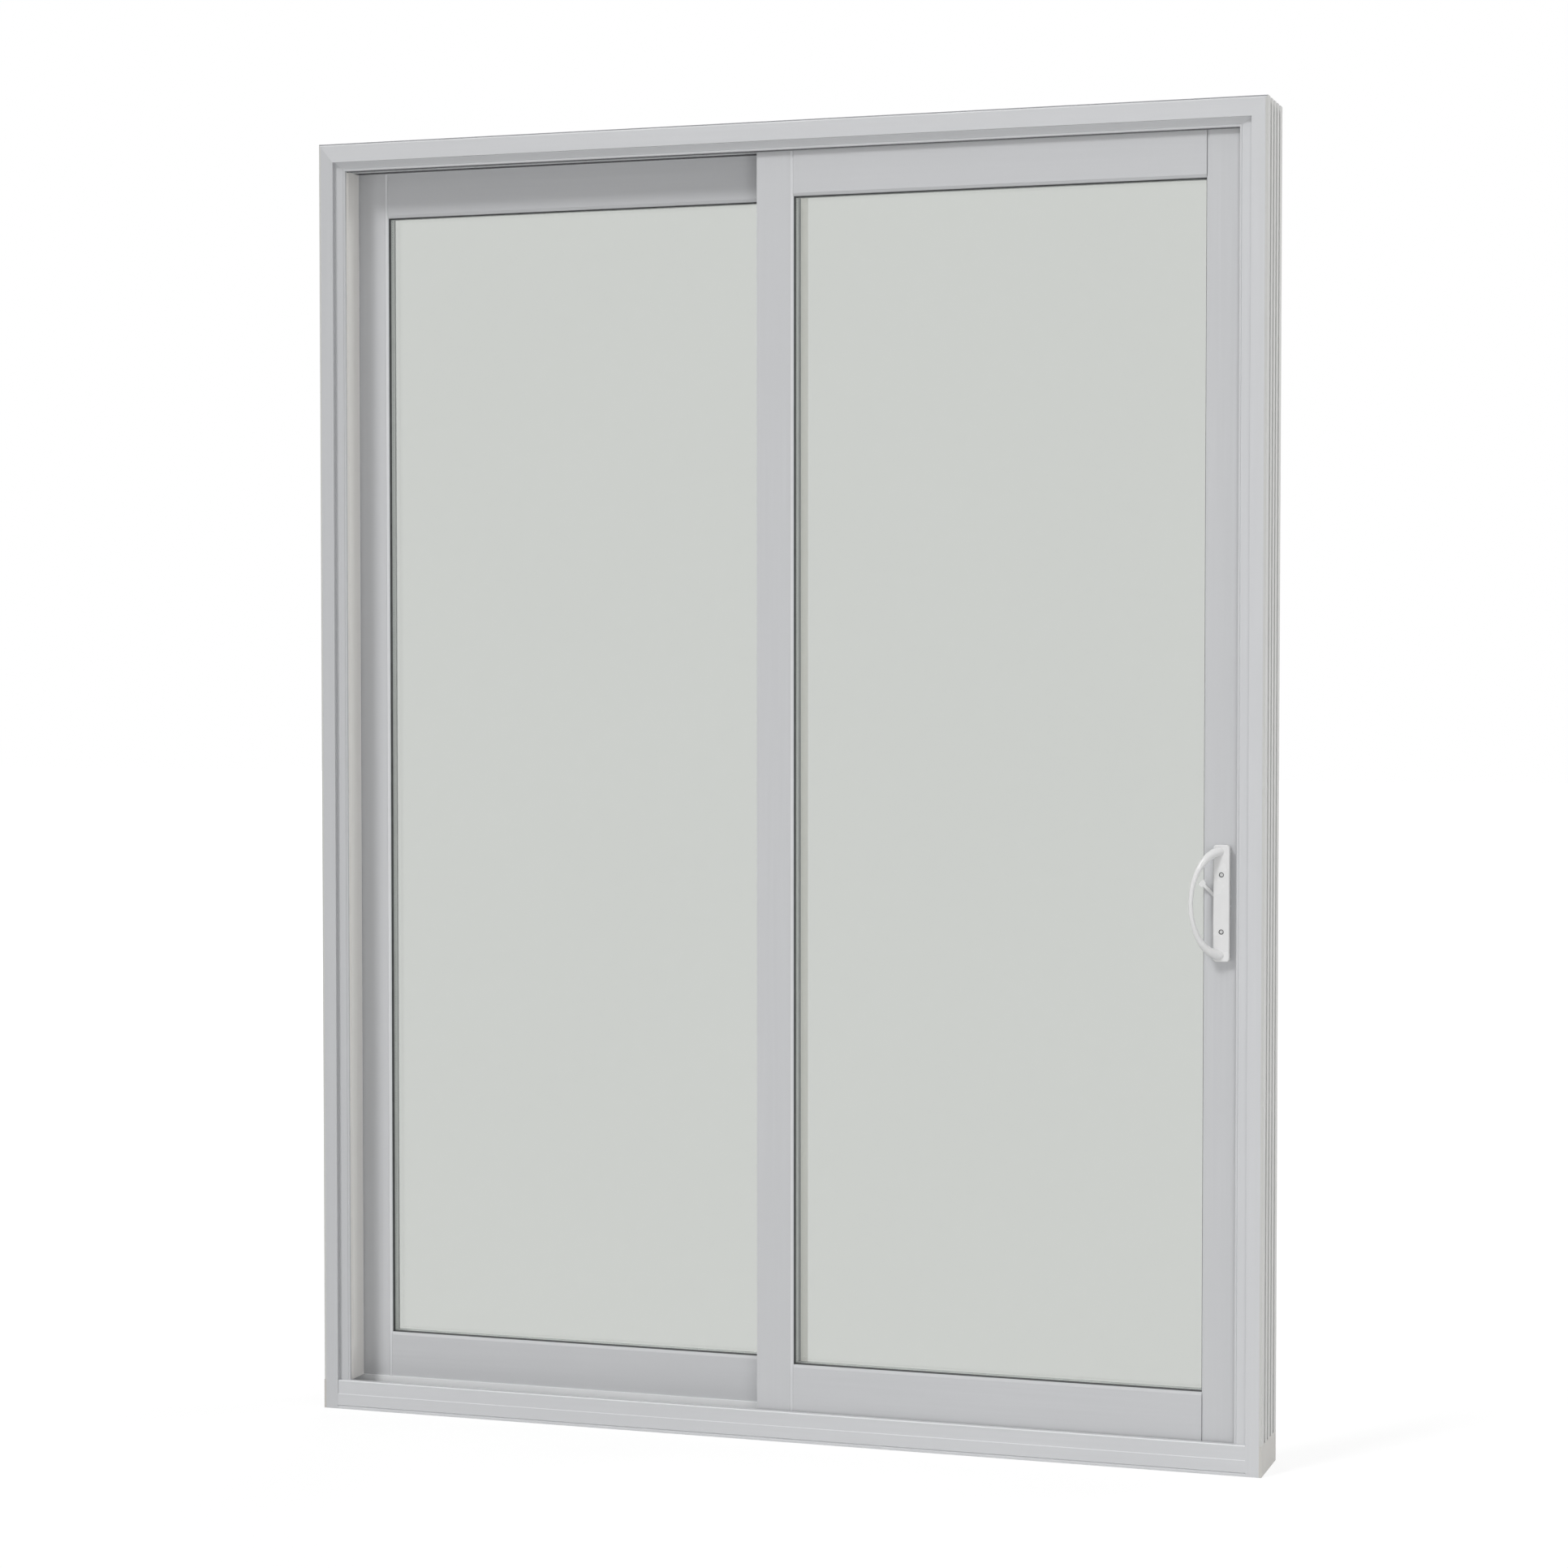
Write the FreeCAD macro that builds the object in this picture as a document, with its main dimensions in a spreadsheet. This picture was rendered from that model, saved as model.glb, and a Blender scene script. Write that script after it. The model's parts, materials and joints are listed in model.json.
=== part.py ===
import FreeCAD, Part
import math
import os
import re
import Sketcher

# Two-panel sliding patio door in extruded vinyl, seen from the room side.
# Millimetres. X runs along the opening, +Y from the room to the outside, +Z up.
# The origin is at the middle of the sill's base.

doc = FreeCAD.newDocument("sliding_patio_door")
sheet = doc.addObject("Spreadsheet::Sheet", "Sizes")

DRIVING_SIZES = [
    ("frame_width", 1517, "outer width of the frame"),
    ("frame_height", 2020, "outer height of the frame"),
    ("frame_depth", 120, "from the room face to the outside face"),
    ("jamb_wall", 24, "jamb thickness, also its flat room face"),
    ("jamb_face", 42.4, "reach of the jamb's lips from its outer side"),
    ("head_wall", 24, "head thickness over its channels"),
    ("head_flat", 29.4, "flat room face of the head"),
    ("head_face", 43, "reach of the head's lips from its top"),
    ("lip_setback", 8, "moulded lip behind the flat room face"),
    ("lip_rise", 2, "slope of the moulded lip"),
    ("lip_thickness", 3, "wall of the lip in front of the sliding panel"),
    ("lip_bead", 2.8, "flat bead along the lip's edge"),
    ("lip_round", 0.8, "bevel on the lip's edge"),
    ("quirk", 1.2, "width of the V groove beside that bead"),
    ("fin_thickness", 2.5, "wall between the two channels"),
    ("outer_lip", 4, "wall outside the fixed panel"),
    ("outer_face", 32, "reach of the outside face from the outer side"),
    ("groove_first", 26.4, "room face to the middle of the first outer groove"),
    ("groove_pitch", 23.6, "spacing of the outer grooves"),
    ("groove_width", 10, "width of an outer groove"),
    ("groove_depth", 3.6, "depth of an outer groove and of the end pads"),
    ("bevel_depth", 1.5, "depth of the bevel along the outer room edge"),
    ("kerf_inset", 0.4, "top of the head to the narrow kerf in its room face"),
    ("kerf_width", 1.6, "width of that kerf"),
    ("kerf_depth", 3, "depth of that kerf"),
    ("guide_width", 8, "rib in the head that guides the sliding panel"),
    ("sill_height", 46, "height of the sill's legs"),
    ("sill_floor", 14, "floor of the sliding channel"),
    ("sill_crease", 24, "height of the ledge on the sill's room face"),
    ("sill_ledge", 1, "depth of that ledge"),
    ("sill_nose", 24, "outer edge of the sloping sill"),
    ("sill_arris", 1.2, "bevel on the sill's upper room edge"),
    ("sill_foot", 4.5, "height of the foot line"),
    ("foot_groove", 1.5, "depth and half height of the foot line"),
    ("weep_length", 32, "length of a drain slot in the sill's nose"),
    ("weep_height", 5, "height of a drain slot"),
    ("weep_depth", 14, "depth of a drain slot"),
    ("weep_level", 8, "middle of a drain slot above the base"),
    ("weep_inset", 230, "end of the sill to the middle of a drain slot"),
    ("panel_clearance", 5, "running room round the sliding panel"),
    ("head_clearance", 9, "lifting room above the panels"),
    ("panel_thickness", 35, "room face to outside face of a panel"),
    ("stile_overlap", 58, "overlap of the two meeting stiles"),
    ("outer_stile", 63.5, "width of the stiles beside the jambs"),
    ("meeting_stile", 58.4, "width of the meeting stiles"),
    ("top_rail", 80, "height of a top rail"),
    ("bottom_rail", 91, "height of a bottom rail"),
    ("band_width", 4.2, "narrow band round the glass"),
    ("band_step", 0.4, "step down to that band"),
    ("band_slope", 1.1, "fall of the band towards the glass"),
    ("band_bevel", 1.2, "bevel at the edge of the band"),
    ("glass_cover", 12, "overlap of the profiles over the glass"),
    ("lip_depth", 4, "thickness of the glazing lip"),
    ("gasket_thickness", 5, "glazing gasket"),
    ("pane_thickness", 3, "one sheet of glass"),
    ("spacer_thickness", 15, "gap between the sheets"),
    ("glass_edge_gap", 3, "room round the edge of the glass"),
    ("spacer_width", 8, "width of the spacer bar"),
    ("bead_edge", 2.5, "thickness of a bead at the glass"),
    ("bead_slope", 4, "width of the bead's sloping face"),
    ("track_height", 8, "roller track above the channel floor"),
    ("track_width", 5, "width of the roller track"),
    ("track_bevel", 1.2, "bevel on the track's upper edges"),
    ("track_foot", 16, "width of the track's foot"),
    ("track_foot_height", 2, "height of the track's foot"),
    ("wheel_play", 0.3, "roller wheel above its track"),
    ("wheel_groove_radius", 12, "roller wheel at the bottom of its groove"),
    ("wheel_rim_radius", 14, "roller wheel at its rims"),
    ("wheel_width", 9, "width of a roller wheel"),
    ("wheel_groove_width", 6, "width of the groove in a roller wheel"),
    ("axle_radius", 3, "axle of a roller wheel"),
    ("axle_play", 0.05, "radial room round the axle"),
    ("axle_height", 8, "axle above the panel's bottom edge"),
    ("housing_length", 70, "length of a roller housing"),
    ("housing_inset", 110, "panel edge to the middle of a roller"),
    ("rail_channel_width", 18, "channel under the bottom rail"),
    ("rail_channel_height", 34, "height of that channel"),
    ("handle_setback", 35, "lock edge to the middle of the handle"),
    ("handle_height", 844, "sill base to the middle of the handle"),
    ("plate_width", 24.5, "width of a handle plate"),
    ("plate_height", 172, "height of a handle plate"),
    ("plate_thickness", 12, "thickness of a handle plate"),
    ("plate_corner", 5, "corner radius of a handle plate"),
    ("plate_edge", 1.2, "bevelled front edge of a handle plate"),
    ("plate_wall", 3, "wall of the room-side handle plate"),
    ("screw_spacing", 84, "distance between the two screws of the room-side plate"),
    ("screw_recess_radius", 3.8, "recess of a screw's head"),
    ("screw_recess_depth", 1.6, "depth of that recess"),
    ("pull_span", 153, "distance between the two roots of a pull"),
    ("pull_reach", 53, "reach of a pull from its plate"),
    ("pull_tilt", 48, "lean of a pull away from the jamb, in degrees"),
    ("pull_radius", 3.4, "radius of the pull's bar at its middle"),
    ("root_radius", 7.2, "radius of the pull's bar at its roots"),
    ("pull_taper", 3, "power by which the bar thickens towards its roots"),
    ("latch_hub_radius", 8, "hub of the thumb latch"),
    ("latch_thickness", 3, "thickness of the thumb latch"),
    ("latch_play", 0.3, "thumb latch behind the plate's front wall"),
    ("latch_length", 44, "pivot to the tip of the thumb latch"),
    ("latch_arm_width", 4.6, "arm of the thumb latch"),
    ("latch_collar", 8.5, "thumb latch where its tip begins to flare"),
    ("latch_tip_width", 10.5, "flared tip of the thumb latch"),
    ("latch_tip_length", 7, "length of the flared tip"),
    ("latch_slot", 44, "height of the slot in the plate's side"),
    ("latch_angle", 45, "latch at rest, degrees above level"),
    ("spindle_radius", 4, "spindle of the thumb latch"),
    ("spindle_length", 20, "spindle in the lock stile"),
    ("spindle_play", 0.1, "radial room round the spindle"),
    ("lock_plate_height", 180, "lock face plate in the stile's edge"),
    ("lock_plate_width", 20, "width of the lock face plate and keeper"),
    ("lock_plate_thickness", 2, "thickness of the lock face plate and keeper"),
    ("keeper_height", 130, "keeper in the jamb"),
    ("keeper_slot_height", 40, "hook slot in the keeper and face plate"),
    ("keeper_slot_width", 9, "width of that slot"),
    ("hook_wall", 1.6, "wall of the interlock hooks on the meeting stiles"),
    ("hook_gap", 1.2, "room between the two hooks"),
    ("hook_reach", 10, "overlap of the two hooks"),
    ("cover_proud", 1, "jamb cover beyond the lips"),
    ("cover_bevel", 6, "bevel along the jamb cover's front edge"),
]

# Places that follow from the driving sizes. Depths count from the room face,
# panel heights from the sill's base.
DERIVED_PLACES = {
    "front_y": "-frame_depth / 2",
    "half_width": "frame_width / 2",
    "lip_back": "lip_setback + lip_thickness",
    "slide_face": "lip_back + panel_clearance",
    "slide_back": "slide_face + panel_thickness",
    "fin_front": "slide_back + panel_clearance",
    "fixed_face": "fin_front + fin_thickness",
    "fixed_back": "fixed_face + panel_thickness",
    "outer_lip_back": "fixed_back + outer_lip",
    "slide_middle": "slide_face + panel_thickness / 2",
    "guide_reach": "head_face - head_wall",
    "guide_groove_width": "guide_width + 2 * panel_clearance",
    "guide_groove_depth": "guide_reach - head_clearance + panel_clearance",
    "panel_edge_x": "half_width - jamb_wall - panel_clearance",
    "panel_inner_x": "stile_overlap / 2",
    "track_top": "sill_floor + track_height",
    "axle_z": "track_top + wheel_play + wheel_groove_radius",
    "panel_bottom": "axle_z - axle_height",
    "panel_top": "frame_height - head_wall - head_clearance",
    "panel_height": "panel_top - panel_bottom",
    "pane_front": "lip_depth + gasket_thickness",
    "spacer_front": "pane_front + pane_thickness",
    "outer_pane_front": "spacer_front + spacer_thickness",
    "bead_front": "outer_pane_front + pane_thickness",
    "rebate_outer_x": "panel_edge_x - outer_stile + glass_cover",
    "rebate_inner_x": "meeting_stile - glass_cover - panel_inner_x",
    "rebate_bottom_z": "panel_bottom + bottom_rail - glass_cover",
    "rebate_top_z": "panel_top - top_rail + glass_cover",
    "rail_length": "rebate_outer_x - rebate_inner_x",
    "handle_x": "panel_edge_x - handle_setback",
    "plate_hollow": "plate_thickness - plate_wall",
}

GROOVE_COUNT = 4
PULL_RINGS = 23
DRIVING_NAMES = {name for name, number, note in DRIVING_SIZES}

for row, (name, number, note) in enumerate(DRIVING_SIZES, start=1):
    sheet.set(f"A{row}", name)
    sheet.set(f"B{row}", str(number))
    sheet.setAlias(f"B{row}", name)
    sheet.set(f"C{row}", note)
doc.recompute()

sub_parts = []


def formula(text):
    """Write a formula of plain size names in terms of the sheet's cells."""
    def expand(match):
        word = match.group(0)
        if word in DERIVED_PLACES:
            return "(" + formula(DERIVED_PLACES[word]) + ")"
        if word in DRIVING_NAMES:
            return "Sizes." + word
        return word
    return re.sub(r"[A-Za-z_]\w*", expand, text)


def value(text):
    return float(sheet.evalExpression(formula(text)))


def place(item, x="0", y="0", z="0"):
    for axis, text in (("x", x), ("y", y), ("z", z)):
        item.setExpression("Placement.Base." + axis, formula(text))


def new_body(label, whole=True):
    """Start a body. One that is whole is a sub-part by itself."""
    body = doc.addObject("PartDesign::Body", label)
    body.Label = label
    if whole:
        sub_parts.append(body)
    return body


def new_sketch(body, plane_role, offset="0"):
    plane = [item for item in body.Origin.OriginFeatures if item.Role == plane_role][0]
    sketch = body.newObject("Sketcher::SketchObject", body.Label + "_sketch")
    sketch.AttachmentSupport = [(plane, "")]
    sketch.MapMode = "FlatFace"
    sketch.setExpression("AttachmentOffset.Base.z", formula(offset))
    return sketch


def pin_point(sketch, edge, end, x, y):
    """Fix one end of an edge at a place worked out from the sheet."""
    for kind, text in (("DistanceX", x), ("DistanceY", y)):
        rule = Sketcher.Constraint(kind, -1, 1, edge, end, value(text))
        number = sketch.addConstraint(rule)
        name = f"place{number}"
        sketch.renameConstraint(number, name)
        sketch.setExpression("Constraints." + name, formula(text))


def set_radius(sketch, edge, text):
    number = sketch.addConstraint(Sketcher.Constraint("Radius", edge, value(text)))
    name = f"radius{number}"
    sketch.renameConstraint(number, name)
    sketch.setExpression("Constraints." + name, formula(text))


def draw_outline(sketch, corners):
    """Draw a closed outline of straight edges through corners given as formulas."""
    first = sketch.GeometryCount
    points = [FreeCAD.Vector(value(x), value(y), 0) for x, y in corners]
    count = len(points)
    for index in range(count):
        sketch.addGeometry(Part.LineSegment(points[index], points[(index + 1) % count]))
    for index in range(count):
        following = first + (index + 1) % count
        sketch.addConstraint(Sketcher.Constraint("Coincident", first + index, 2, following, 1))
    for index, (x, y) in enumerate(corners):
        pin_point(sketch, first + index, 1, x, y)


def draw_box(sketch, x_low, x_high, y_low, y_high):
    draw_outline(sketch, [(x_low, y_low), (x_high, y_low), (x_high, y_high), (x_low, y_high)])


def draw_circle(sketch, radius, x="0", y="0"):
    centre = FreeCAD.Vector(value(x), value(y), 0)
    edge = sketch.addGeometry(Part.Circle(centre, FreeCAD.Vector(0, 0, 1), value(radius)))
    pin_point(sketch, edge, 3, x, y)
    set_radius(sketch, edge, radius)


def extrude(body, kind, sketch, length, reverse=False):
    feature = body.newObject("PartDesign::" + kind, body.Label + "_" + kind.lower())
    feature.Profile = sketch
    feature.setExpression("Length", formula(length))
    feature.Reversed = reverse
    doc.recompute()
    return feature


def cut(body, sketch, length, reverse=False):
    before = body.Shape.Volume
    feature = extrude(body, "Pocket", sketch, length, reverse)
    if not body.Shape.Volume < before:
        raise RuntimeError(f"a cut in {body.Label} removed nothing")
    return feature


def frame_outline(wall, flat, face):
    """Section of a head or jamb as (distance from its outer side, depth)."""
    outline = [("0", "bevel_depth")]
    for index in range(GROOVE_COUNT):
        low = f"groove_first + {index} * groove_pitch - groove_width / 2"
        high = f"groove_first + {index} * groove_pitch + groove_width / 2"
        outline += [("0", low), ("groove_depth", low), ("groove_depth", high), ("0", high)]
    outline += [
        ("0", "frame_depth"),
        ("outer_face", "frame_depth"),
        ("outer_face", "outer_lip_back"),
        (face, "outer_lip_back"),
        (face, "fixed_back"),
        (wall, "fixed_back"),
        (wall, "fixed_face"),
        (face, "fixed_face"),
        (face, "fin_front"),
        (wall, "fin_front"),
        (wall, "lip_back"),
        (face, "lip_back"),
        (face, "lip_setback + lip_round"),
        (f"{face} - lip_round", "lip_setback"),
        (f"{face} - lip_bead", "lip_setback"),
        (f"{face} - lip_bead - quirk / 2", "lip_setback + quirk / 2"),
        (f"{face} - lip_bead - quirk", "lip_setback"),
        (flat, "lip_setback - lip_rise"),
        (flat, "0"),
        ("groove_depth", "0"),
    ]
    return outline


# Corner of head and jamb, as (distance from the jamb's side, distance from the top)
MITRE_LINE = [("0", "0"), ("jamb_wall", "head_flat"), ("jamb_face", "head_face")]


def make_head():
    body = new_body("head")
    section = new_sketch(body, "YZ_Plane")
    outline = frame_outline("head_wall", "head_flat", "head_face")
    draw_outline(section, [(depth, f"-({drop})") for drop, depth in outline])
    extrude(body, "Pad", section, "frame_width")
    for start, sign in (("0", 1), ("frame_width", -1)):
        corner = new_sketch(body, "XZ_Plane")
        line = MITRE_LINE + [("0", "head_face")]
        draw_outline(corner, [(f"{start} + {sign} * ({x})", f"-({z})") for x, z in line])
        cut(body, corner, "frame_depth")
    kerf = new_sketch(body, "YZ_Plane")
    draw_box(kerf, "0", "kerf_depth", "-kerf_inset - kerf_width", "-kerf_inset")
    cut(body, kerf, "frame_width", reverse=True)
    guide = new_sketch(body, "YZ_Plane", "jamb_face")
    draw_box(guide, "slide_middle - guide_width / 2", "slide_middle + guide_width / 2",
             "-head_face", "-head_wall")
    extrude(body, "Pad", guide, "frame_width - 2 * jamb_face")
    place(body, "-half_width", "front_y", "frame_height")


def make_jamb(label, side):
    body = new_body(label)
    section = new_sketch(body, "XY_Plane", "sill_height")
    outline = frame_outline("jamb_wall", "jamb_wall", "jamb_face")
    draw_outline(section, [(f"{-side} * ({x})", depth) for x, depth in outline])
    extrude(body, "Pad", section, "frame_height - sill_height")
    foot = new_sketch(body, "XY_Plane")
    inner = f"{-side} * jamb_wall"
    outer = f"{-side} * groove_depth"
    draw_box(foot, inner, outer, "0", "frame_depth")
    extrude(body, "Pad", foot, "sill_height")
    corner = new_sketch(body, "XZ_Plane")
    line = MITRE_LINE + [("jamb_face", "0")]
    draw_outline(corner, [(f"{-side} * ({x})", f"frame_height - ({z})") for x, z in line])
    cut(body, corner, "frame_depth")
    place(body, f"{side} * half_width", "front_y")
    return body


def make_sill():
    body = new_body("sill")
    section = new_sketch(body, "YZ_Plane")
    draw_outline(section, [
        ("0", "0"),
        ("0", "sill_foot - foot_groove"),
        ("foot_groove", "sill_foot"),
        ("0", "sill_foot + foot_groove"),
        ("0", "sill_crease"),
        ("sill_ledge", "sill_crease"),
        ("sill_ledge", "sill_height - sill_arris"),
        ("sill_ledge + sill_arris", "sill_height"),
        ("lip_back", "sill_height"),
        ("lip_back", "sill_floor"),
        ("fin_front", "sill_floor"),
        ("fin_front", "sill_height"),
        ("fixed_face", "sill_height"),
        ("fixed_face", "panel_bottom"),
        ("fixed_back", "panel_bottom"),
        ("fixed_back", "sill_height"),
        ("outer_lip_back", "sill_height"),
        ("outer_lip_back", "panel_bottom + outer_lip"),
        ("frame_depth", "sill_nose"),
        ("frame_depth", "0"),
    ])
    extrude(body, "Pad", section, "frame_width - 2 * jamb_wall")
    weeps = new_sketch(body, "XZ_Plane", "-frame_depth")
    for middle in ("weep_inset", "(frame_width - 2 * jamb_wall - weep_inset)"):
        draw_box(weeps, f"{middle} - weep_length / 2", f"{middle} + weep_length / 2",
                 "weep_level - weep_height / 2", "weep_level + weep_height / 2")
    cut(body, weeps, "weep_depth", reverse=True)
    place(body, "jamb_wall - half_width", "front_y")


def make_end_pad(label, side):
    pad = doc.addObject("Part::Box", label)
    pad.Label = label
    pad.setExpression("Length", formula("groove_depth"))
    pad.setExpression("Width", formula("frame_depth"))
    pad.setExpression("Height", formula("sill_height"))
    place(pad, f"{side} * (half_width - groove_depth / 2) - groove_depth / 2", "front_y")
    sub_parts.append(pad)


def make_jamb_cover(label, side, front, back):
    """Snap-in cover over the channel of a jamb that holds no panel."""
    body = new_body(label)
    section = new_sketch(body, "XY_Plane")
    reach = "(jamb_face - jamb_wall + cover_proud)"
    draw_outline(section, [
        ("0", front),
        (f"{-side} * ({reach} - cover_bevel)", front),
        (f"{-side} * {reach}", f"{front} + cover_bevel"),
        (f"{-side} * {reach}", back),
        ("0", back),
    ])
    extrude(body, "Pad", section, "frame_height - head_face - sill_height")
    place(body, f"{side} * (half_width - jamb_wall)", "front_y", "sill_height")


def make_roller_track():
    body = new_body("roller_track")
    section = new_sketch(body, "YZ_Plane")
    draw_outline(section, [
        ("-track_foot / 2", "0"),
        ("track_foot / 2", "0"),
        ("track_foot / 2", "track_foot_height"),
        ("track_width / 2", "track_foot_height"),
        ("track_width / 2", "track_height - track_bevel"),
        ("track_width / 2 - track_bevel", "track_height"),
        ("track_bevel - track_width / 2", "track_height"),
        ("-track_width / 2", "track_height - track_bevel"),
        ("-track_width / 2", "track_foot_height"),
        ("-track_foot / 2", "track_foot_height"),
    ])
    extrude(body, "Pad", section, "frame_width - 2 * jamb_wall")
    place(body, "jamb_wall - half_width", "front_y + slide_middle", "sill_floor")


def member_outline(width):
    """Section of a stile or rail as (distance from its outer edge, depth)."""
    return [
        ("0", "0"),
        (f"{width} - band_width", "0"),
        (f"{width} - band_width", "band_step"),
        (f"{width} - band_bevel", "band_step + band_slope"),
        (width, "band_step + band_slope + band_bevel"),
        (width, "lip_depth"),
        (f"{width} - glass_cover", "lip_depth"),
        (f"{width} - glass_cover", "panel_thickness"),
        ("0", "panel_thickness"),
    ]


def bead_outline(width):
    """Section of an outside glazing bead, in the same terms as a stile."""
    return [
        (f"{width} - glass_cover", "bead_front"),
        (width, "bead_front"),
        (width, "bead_front + bead_edge"),
        (f"{width} - bead_slope", "panel_thickness"),
        (f"{width} - glass_cover", "panel_thickness"),
    ]


def make_upright(label, outline, edge_x, inward, face, bottom, height):
    """Extrude a stile or bead upwards from its section."""
    body = new_body(label)
    section = new_sketch(body, "XY_Plane")
    draw_outline(section, [(f"{inward} * ({x})", depth) for x, depth in outline])
    extrude(body, "Pad", section, height)
    place(body, edge_x, f"front_y + {face}", bottom)
    return body


def make_crosspiece(label, outline, edge_z, inward, face, start_x, length):
    """Extrude a rail or bead sideways from its section."""
    body = new_body(label)
    section = new_sketch(body, "YZ_Plane")
    draw_outline(section, [(depth, f"{inward} * ({z})") for z, depth in outline])
    extrude(body, "Pad", section, length)
    place(body, start_x, f"front_y + {face}", edge_z)
    return body


def cope_rail(body, height, inward):
    """Cut the ends of a rail back where the glazing lips of the stiles pass."""
    for low, high in (("0", "glass_cover"), ("rail_length - glass_cover", "rail_length")):
        notch = new_sketch(body, "XY_Plane")
        draw_box(notch, low, high, "0", "lip_depth")
        cut(body, notch, height, reverse=inward > 0)


def make_sheet(label, face, start_x, front, thickness, outer_margin, inner_margin=None):
    """Make a pane, or a ring where an inner margin from the rebate is given."""
    body = new_body(label)
    outline = new_sketch(body, "XZ_Plane")
    for margin in (outer_margin, inner_margin):
        if margin is not None:
            x_high = f"rail_length - ({margin})"
            z_high = f"rebate_top_z - rebate_bottom_z - ({margin})"
            draw_box(outline, margin, x_high, margin, z_high)
    extrude(body, "Pad", outline, thickness, reverse=True)
    place(body, start_x, f"front_y + {face} + {front}", "rebate_bottom_z")


def make_panel(prefix, side, face, outer_stile_name):
    """Build one glazed panel. Side is +1 where its outer stile is at +X."""
    outer_x = f"{side} * panel_edge_x"
    inner_x = f"{-side} * panel_inner_x"
    bottom_z = "panel_bottom"
    top_z = "panel_top"
    outer_stile = make_upright(f"{prefix}_{outer_stile_name}", member_outline("outer_stile"),
                               outer_x, -side, face, bottom_z, "panel_height")
    meeting_stile = make_upright(f"{prefix}_meeting_stile", member_outline("meeting_stile"),
                                 inner_x, side, face, bottom_z, "panel_height")

    start_x = "rebate_inner_x" if side > 0 else "-rebate_outer_x"
    top = make_crosspiece(f"{prefix}_top_rail", member_outline("top_rail"),
                          top_z, -1, face, start_x, "rail_length")
    cope_rail(top, "top_rail", -1)
    bottom = make_crosspiece(f"{prefix}_bottom_rail", member_outline("bottom_rail"),
                             bottom_z, 1, face, start_x, "rail_length")
    cope_rail(bottom, "bottom_rail", 1)

    bead_height = "rebate_top_z - rebate_bottom_z"
    make_upright(f"{prefix}_outer_bead", bead_outline("outer_stile"),
                 outer_x, -side, face, "rebate_bottom_z", bead_height)
    make_upright(f"{prefix}_meeting_bead", bead_outline("meeting_stile"),
                 inner_x, side, face, "rebate_bottom_z", bead_height)
    bead_start = f"{start_x} + glass_cover"
    bead_length = "rail_length - 2 * glass_cover"
    make_crosspiece(f"{prefix}_top_bead", bead_outline("top_rail"),
                    top_z, -1, face, bead_start, bead_length)
    make_crosspiece(f"{prefix}_bottom_bead", bead_outline("bottom_rail"),
                    bottom_z, 1, face, bead_start, bead_length)

    make_sheet(f"{prefix}_gasket", face, start_x, "lip_depth", "gasket_thickness",
               "glass_edge_gap", "glass_cover")
    make_sheet(f"{prefix}_inner_pane", face, start_x, "pane_front", "pane_thickness",
               "glass_edge_gap")
    make_sheet(f"{prefix}_spacer", face, start_x, "spacer_front", "spacer_thickness",
               "glass_cover - spacer_width", "glass_cover")
    make_sheet(f"{prefix}_outer_pane", face, start_x, "outer_pane_front", "pane_thickness",
               "glass_edge_gap")
    return outer_stile, meeting_stile, top, bottom


def cut_guide_groove(body, top_z, length, reverse):
    """Groove the sliding panel's upper edge to straddle the guide rib."""
    groove = new_sketch(body, "YZ_Plane")
    draw_box(groove, "panel_thickness / 2 - guide_groove_width / 2",
             "panel_thickness / 2 + guide_groove_width / 2",
             f"{top_z} - guide_groove_depth", top_z)
    cut(body, groove, length, reverse)


def make_interlock(label, side, root):
    """Hook strip along a meeting stile. Side is +1 where its lip points to +X."""
    body = new_body(label)
    section = new_sketch(body, "XY_Plane")
    stand = "(panel_clearance + fin_thickness)"
    lip_far = f"({stand} / 2 + hook_gap / 2 + hook_wall)"
    lip_near = f"({stand} / 2 + hook_gap / 2)"
    web = f"{-side} * (hook_reach / 2 + hook_gap + hook_wall)"
    web_face = f"{-side} * (hook_reach / 2 + hook_gap)"
    tip = f"{side} * hook_reach / 2"
    draw_outline(section, [(x, f"{side} * {depth}") for x, depth in (
        (web, "0"),
        (web_face, "0"),
        (web_face, lip_near),
        (tip, lip_near),
        (tip, lip_far),
        (web, lip_far),
    )])
    extrude(body, "Pad", section, "frame_height - head_face - sill_height - 2 * panel_clearance")
    place(body, "0", f"front_y + {root}", "sill_height + panel_clearance")


def cut_rail_channel(rail):
    """Open a channel under the sliding bottom rail for the roller housings."""
    channel = new_sketch(rail, "YZ_Plane")
    draw_box(channel, "panel_thickness / 2 - rail_channel_width / 2",
             "panel_thickness / 2 + rail_channel_width / 2", "0", "rail_channel_height")
    cut(rail, channel, "rail_length", reverse=True)


def cut_lock_stile(stile):
    """Cut the spindle's hole and the face plate's recess in the lock stile."""
    spindle = new_sketch(stile, "XZ_Plane")
    draw_circle(spindle, "spindle_radius + spindle_play", "-handle_setback",
                "handle_height - panel_bottom")
    cut(stile, spindle, "spindle_length + spindle_play")
    recess = new_sketch(stile, "YZ_Plane")
    middle = "(handle_height - panel_bottom)"
    draw_box(recess, "panel_thickness / 2 - lock_plate_width / 2",
             "panel_thickness / 2 + lock_plate_width / 2",
             f"{middle} - lock_plate_height / 2", f"{middle} + lock_plate_height / 2")
    cut(stile, recess, "lock_plate_thickness")


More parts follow.
